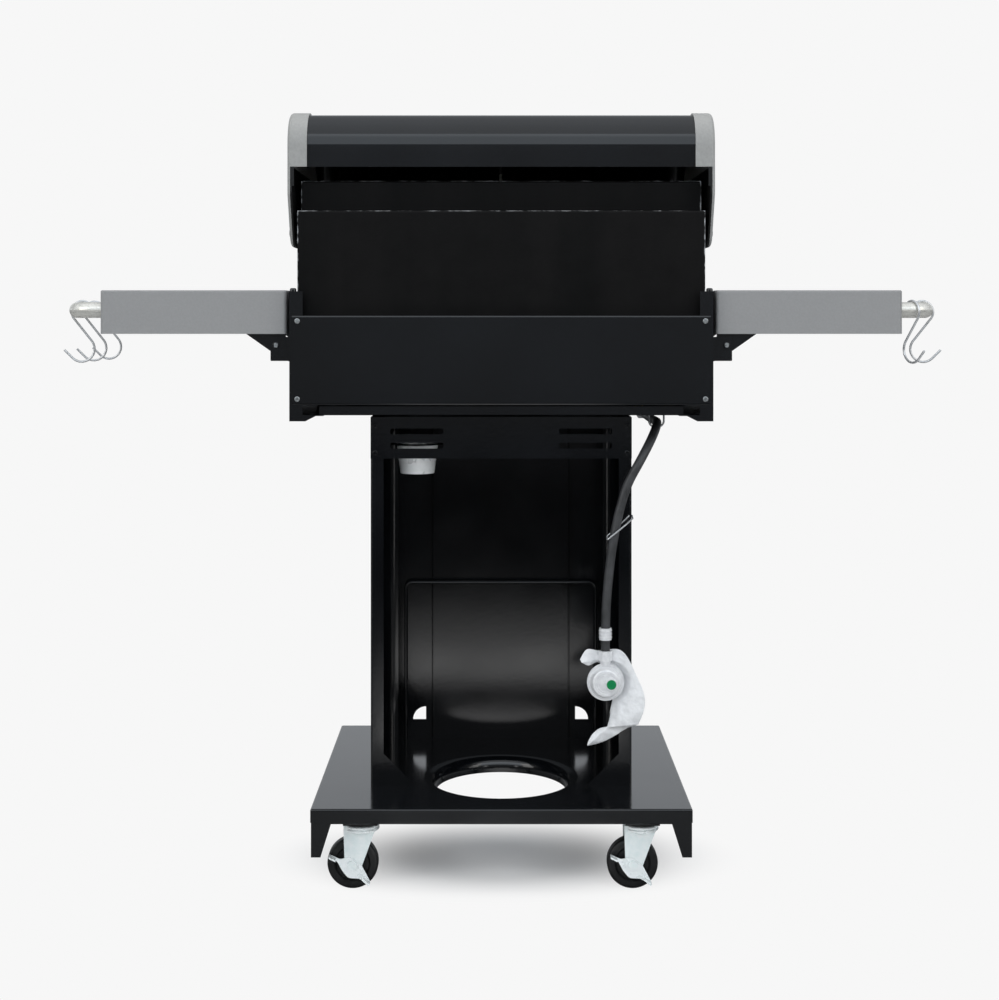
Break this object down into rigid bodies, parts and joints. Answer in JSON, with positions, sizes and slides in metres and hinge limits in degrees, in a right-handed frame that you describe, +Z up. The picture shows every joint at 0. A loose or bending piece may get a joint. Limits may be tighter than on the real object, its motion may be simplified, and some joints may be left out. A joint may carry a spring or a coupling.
{
  "type": "gas grill",
  "caption": "Gas grill on a wheeled tank cabinet, with hinged lid, folding side shelves, towel bars with hooks, control knobs, slide-out grease tray, and hose with regulator.",
  "frame": {"origin": "on the floor under the middle of the grill's outer box, without the hose", "axes": "+Z up, -Y towards the cook at the control panel, +X to the cook's right"},
  "size_m": [1.361, 0.56, 1.1693],
  "materials": {
    "black_powder_coat": "gloss black powder coat on sheet steel",
    "black_heat_paint": "satin heat-resistant black on sheet steel",
    "black_enamel": "gloss porcelain enamel on sheet steel",
    "grey_cast_paint": "satin grey paint on cast aluminium",
    "grey_powder_coat": "satin grey powder coat on sheet steel",
    "stainless_steel": "brushed stainless steel",
    "bright_wire": "bright plated wire",
    "zinc_plate": "zinc-plated pressed steel",
    "caster_plastic": "moulded black plastic",
    "knob_plastic": "moulded black plastic",
    "cast_iron": "seasoned cast iron",
    "spun_aluminium": "bare pressed aluminium",
    "zinc_casting": "die-cast zinc alloy, satin silver",
    "plated_brass": "machined brass",
    "hose_rubber": "smooth black rubber",
    "green_plastic": "moulded green plastic",
    "tag_paper": "blank coated paper"
  },
  "bodies": {
    "cart": {"base_shelf": "black_powder_coat", "base_underframe": "black_powder_coat", "caster_plates": "zinc_plate", "cabinet_right_panel": "black_powder_coat", "cabinet_left_panel": "black_powder_coat", "cabinet_front_panel": "black_powder_coat", "rear_vent_rail": "black_powder_coat", "tank_stop_wire": "black_powder_coat", "side_panel_right": "black_powder_coat", "side_panel_left": "black_powder_coat", "body_crossbars": "black_powder_coat", "rear_cover": "black_powder_coat", "grease_cup": "spun_aluminium", "firebox": "black_heat_paint", "rear_heat_plate": "black_heat_paint", "upper_rear_plate": "black_heat_paint", "burners": "stainless_steel", "flame_tamers": "stainless_steel", "cooking_grates": "cast_iron", "warming_rack": "stainless_steel", "control_panel": "black_powder_coat", "gas_manifold": "plated_brass", "shelf_brackets": "black_powder_coat", "fasteners": "zinc_plate", "hose": "hose_rubber", "hose_hardware": "bright_wire", "regulator": "zinc_casting", "regulator_vent_cap": "green_plastic", "paper_tag": "tag_paper"},
    "lid": {"lid_sheet": "black_enamel", "lid_cap_right": "grey_cast_paint", "lid_cap_left": "grey_cast_paint", "lid_handle": "stainless_steel", "thermometer": "stainless_steel"},
    "grease_tray": {"grease_tray": "black_powder_coat"},
    "right_shelf": {"right_shelf_tray": "grey_powder_coat", "right_shelf_ears": "black_powder_coat", "right_towel_bar": "stainless_steel"},
    "left_shelf": {"left_shelf_tray": "grey_powder_coat", "left_shelf_ears": "black_powder_coat", "left_towel_bar": "stainless_steel"},
    "knob_1": {"knob_1": "knob_plastic"},
    "knob_2": {"knob_2": "knob_plastic"},
    "knob_3": {"knob_3": "knob_plastic"},
    "knob_4": {"knob_4": "knob_plastic"},
    "hook_1": {"hook_1": "bright_wire"},
    "hook_2": {"hook_2": "bright_wire"},
    "hook_3": {"hook_3": "bright_wire"},
    "hook_4": {"hook_4": "bright_wire"},
    "hook_5": {"hook_5": "bright_wire"},
    "rear_right_caster": {"rear_right_caster_fork": "zinc_plate"},
    "rear_right_wheel": {"rear_right_caster_wheel": "caster_plastic"},
    "rear_right_brake": {"rear_right_caster_brake": "zinc_plate"},
    "rear_left_caster": {"rear_left_caster_fork": "zinc_plate"},
    "rear_left_wheel": {"rear_left_caster_wheel": "caster_plastic"},
    "rear_left_brake": {"rear_left_caster_brake": "zinc_plate"},
    "front_right_caster": {"front_right_caster_fork": "zinc_plate"},
    "front_right_wheel": {"front_right_caster_wheel": "caster_plastic"},
    "front_left_caster": {"front_left_caster_fork": "zinc_plate"},
    "front_left_wheel": {"front_left_caster_wheel": "caster_plastic"}
  },
  "joints": [
    {"name": "lid_hinge", "type": "hinge", "parent": "cart", "child": "lid", "pos_m": [0, 0.13, 0.985], "axis": [-1, 0, 0], "range_deg": [0, 90]},
    {"name": "right_shelf_fold", "type": "hinge", "parent": "cart", "child": "right_shelf", "pos_m": [0.3406, 0, 0.811], "axis": [0, 1, 0], "range_deg": [0, 90]},
    {"name": "left_shelf_fold", "type": "hinge", "parent": "cart", "child": "left_shelf", "pos_m": [-0.3406, 0, 0.811], "axis": [0, -1, 0], "range_deg": [0, 90]},
    {"name": "grease_tray_slide", "type": "slide", "parent": "cart", "child": "grease_tray", "axis": [0, 1, 0], "range_m": [0, 0.3]},
    {"name": "knob_1_turn", "type": "hinge", "parent": "cart", "child": "knob_1", "pos_m": [-0.21, -0.2483, 0.825], "axis": [0, -1, 0], "range_deg": [0, 180]},
    {"name": "knob_2_turn", "type": "hinge", "parent": "cart", "child": "knob_2", "pos_m": [-0.07, -0.2483, 0.825], "axis": [0, -1, 0], "range_deg": [0, 180]},
    {"name": "knob_3_turn", "type": "hinge", "parent": "cart", "child": "knob_3", "pos_m": [0.07, -0.2483, 0.825], "axis": [0, -1, 0], "range_deg": [0, 180]},
    {"name": "knob_4_turn", "type": "hinge", "parent": "cart", "child": "knob_4", "pos_m": [0.21, -0.2483, 0.825], "axis": [0, -1, 0], "range_deg": [0, 180]},
    {"name": "rear_right_caster_swivel", "type": "hinge", "parent": "cart", "child": "rear_right_caster", "pos_m": [0.209, 0.23, 0.104], "axis": [0, 0, 1], "continuous": true},
    {"name": "rear_right_wheel_roll", "type": "hinge", "parent": "rear_right_caster", "child": "rear_right_wheel", "pos_m": [0.222, 0.23, 0.038], "axis": [0, 1, 0], "continuous": true},
    {"name": "rear_right_brake_press", "type": "hinge", "parent": "rear_right_caster", "child": "rear_right_brake", "pos_m": [0.222, 0.23, 0.038], "axis": [0, 1, 0], "range_deg": [0, 20]},
    {"name": "rear_left_caster_swivel", "type": "hinge", "parent": "cart", "child": "rear_left_caster", "pos_m": [-0.209, 0.23, 0.104], "axis": [0, 0, 1], "continuous": true},
    {"name": "rear_left_wheel_roll", "type": "hinge", "parent": "rear_left_caster", "child": "rear_left_wheel", "pos_m": [-0.196, 0.23, 0.038], "axis": [0, 1, 0], "continuous": true},
    {"name": "rear_left_brake_press", "type": "hinge", "parent": "rear_left_caster", "child": "rear_left_brake", "pos_m": [-0.196, 0.23, 0.038], "axis": [0, 1, 0], "range_deg": [0, 20]},
    {"name": "front_right_caster_swivel", "type": "hinge", "parent": "cart", "child": "front_right_caster", "pos_m": [0.209, -0.15, 0.104], "axis": [0, 0, 1], "continuous": true},
    {"name": "front_right_wheel_roll", "type": "hinge", "parent": "front_right_caster", "child": "front_right_wheel", "pos_m": [0.222, -0.15, 0.038], "axis": [0, 1, 0], "continuous": true},
    {"name": "front_left_caster_swivel", "type": "hinge", "parent": "cart", "child": "front_left_caster", "pos_m": [-0.209, -0.15, 0.104], "axis": [0, 0, 1], "continuous": true},
    {"name": "front_left_wheel_roll", "type": "hinge", "parent": "front_left_caster", "child": "front_left_wheel", "pos_m": [-0.196, -0.15, 0.038], "axis": [0, 1, 0], "continuous": true},
    {"name": "hook_1_swing", "type": "hinge", "parent": "right_shelf", "child": "hook_1", "pos_m": [0.651, 0.14, 0.864], "axis": [0, 1, 0], "range_deg": [-60, 25]},
    {"name": "hook_2_swing", "type": "hinge", "parent": "right_shelf", "child": "hook_2", "pos_m": [0.651, 0.065, 0.864], "axis": [0, 1, 0], "range_deg": [-60, 25]},
    {"name": "hook_3_swing", "type": "hinge", "parent": "right_shelf", "child": "hook_3", "pos_m": [0.651, -0.035, 0.864], "axis": [0, 1, 0], "range_deg": [-60, 25]},
    {"name": "hook_4_swing", "type": "hinge", "parent": "left_shelf", "child": "hook_4", "pos_m": [-0.651, 0.155, 0.864], "axis": [0, -1, 0], "range_deg": [-60, 25]},
    {"name": "hook_5_swing", "type": "hinge", "parent": "left_shelf", "child": "hook_5", "pos_m": [-0.625, 0.193, 0.864], "axis": [1, 0, 0], "range_deg": [-28, 40]}
  ]
}
